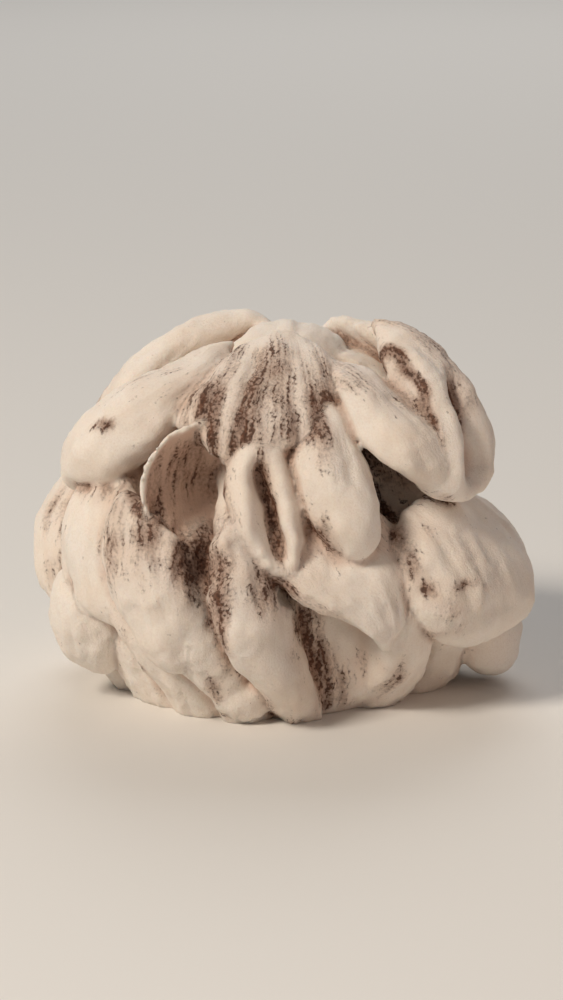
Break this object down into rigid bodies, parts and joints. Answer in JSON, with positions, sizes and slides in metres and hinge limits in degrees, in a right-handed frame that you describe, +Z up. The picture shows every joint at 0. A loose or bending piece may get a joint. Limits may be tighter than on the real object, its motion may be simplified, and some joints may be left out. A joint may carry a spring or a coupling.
{
  "type": "meringue cookie",
  "caption": "Baked meringue cookie: a spooned dollop of whipped egg white with ruffled folds, hanging lobes, a spoon hollow and a flat underside.",
  "frame": {"origin": "middle of the bounding box, on the flat underside", "axes": "+X to the right across the widest extent, +Y to the back, +Z up; the spoon hollow and the looped fold face -Y"},
  "size_m": [0.0762, 0.0648, 0.0578],
  "materials": {
    "meringue": "baked egg-white foam, matte and powdery, with cocoa-brown streaks"
  },
  "bodies": {
    "root": {"meringue": "meringue"}
  },
  "joints": []
}
